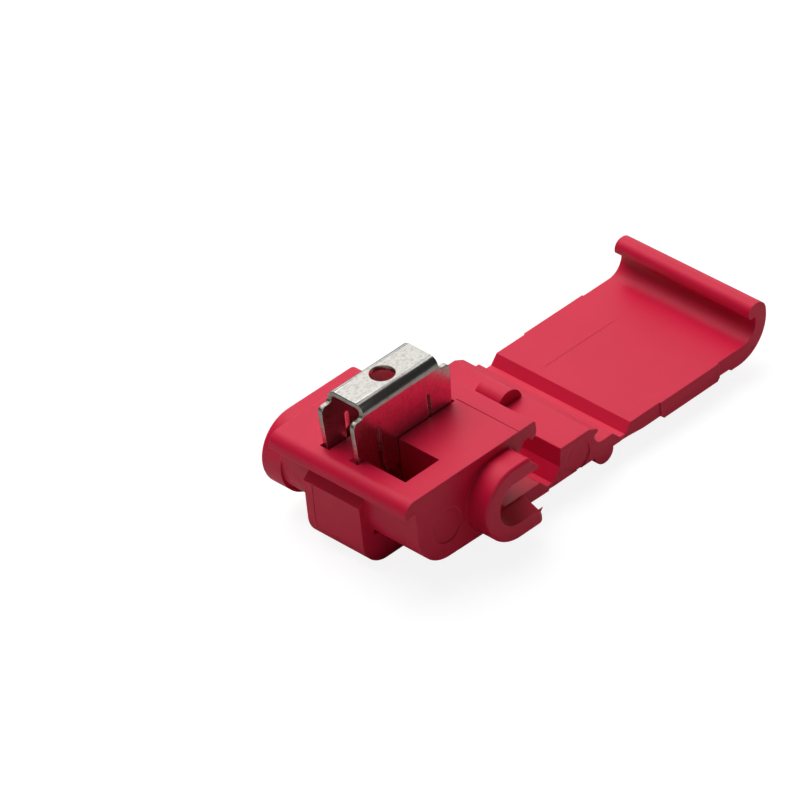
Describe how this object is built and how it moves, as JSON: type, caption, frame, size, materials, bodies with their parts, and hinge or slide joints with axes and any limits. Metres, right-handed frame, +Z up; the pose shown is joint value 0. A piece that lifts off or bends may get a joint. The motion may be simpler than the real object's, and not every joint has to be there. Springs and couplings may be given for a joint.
{
  "type": "t-tap wire connector",
  "caption": "Quick-splice connector with a folding cover: a moulded body with a through passage and a side tap port, and a metal contact that slots onto both wires.",
  "frame": {"origin": "under the middle of the bounding box, on the plane of the belly's underside", "axes": "+X from the housing to the open cover, Y along both wires with the tap port facing +Y, +Z up out of the housing's top plate"},
  "size_m": [0.0446, 0.0218, 0.0153],
  "materials": {
    "red_polypropylene": "moulded polypropylene, satin",
    "tinned_brass": "rolled sheet brass with bright tin plating"
  },
  "bodies": {
    "housing": {"housing": "red_polypropylene", "flap_hinge_film": "red_polypropylene"},
    "wire_flap": {"wire_flap": "red_polypropylene", "cover_hinge_film": "red_polypropylene"},
    "cover": {"cover": "red_polypropylene"},
    "u_contact": {"u_contact": "tinned_brass"}
  },
  "joints": [
    {"name": "flap_fold", "type": "hinge", "parent": "housing", "child": "wire_flap", "pos_m": [-0.00528, 0, 0.0024], "axis": [0, -1, 0], "range_deg": [0, 90], "deforming": ["flap_hinge_film"]},
    {"name": "cover_fold", "type": "hinge", "parent": "wire_flap", "child": "cover", "pos_m": [0.00378, 0, 0.0024], "axis": [0, -1, 0], "range_deg": [0, 90], "deforming": ["cover_hinge_film"]},
    {"name": "contact_press", "type": "slide", "parent": "housing", "child": "u_contact", "axis": [0, 0, -1], "range_m": [0, 0.0048]}
  ],
  "couplings": [
    {"joint": "cover_fold", "follows": "contact_press", "rad_per_m": 327.24}
  ]
}
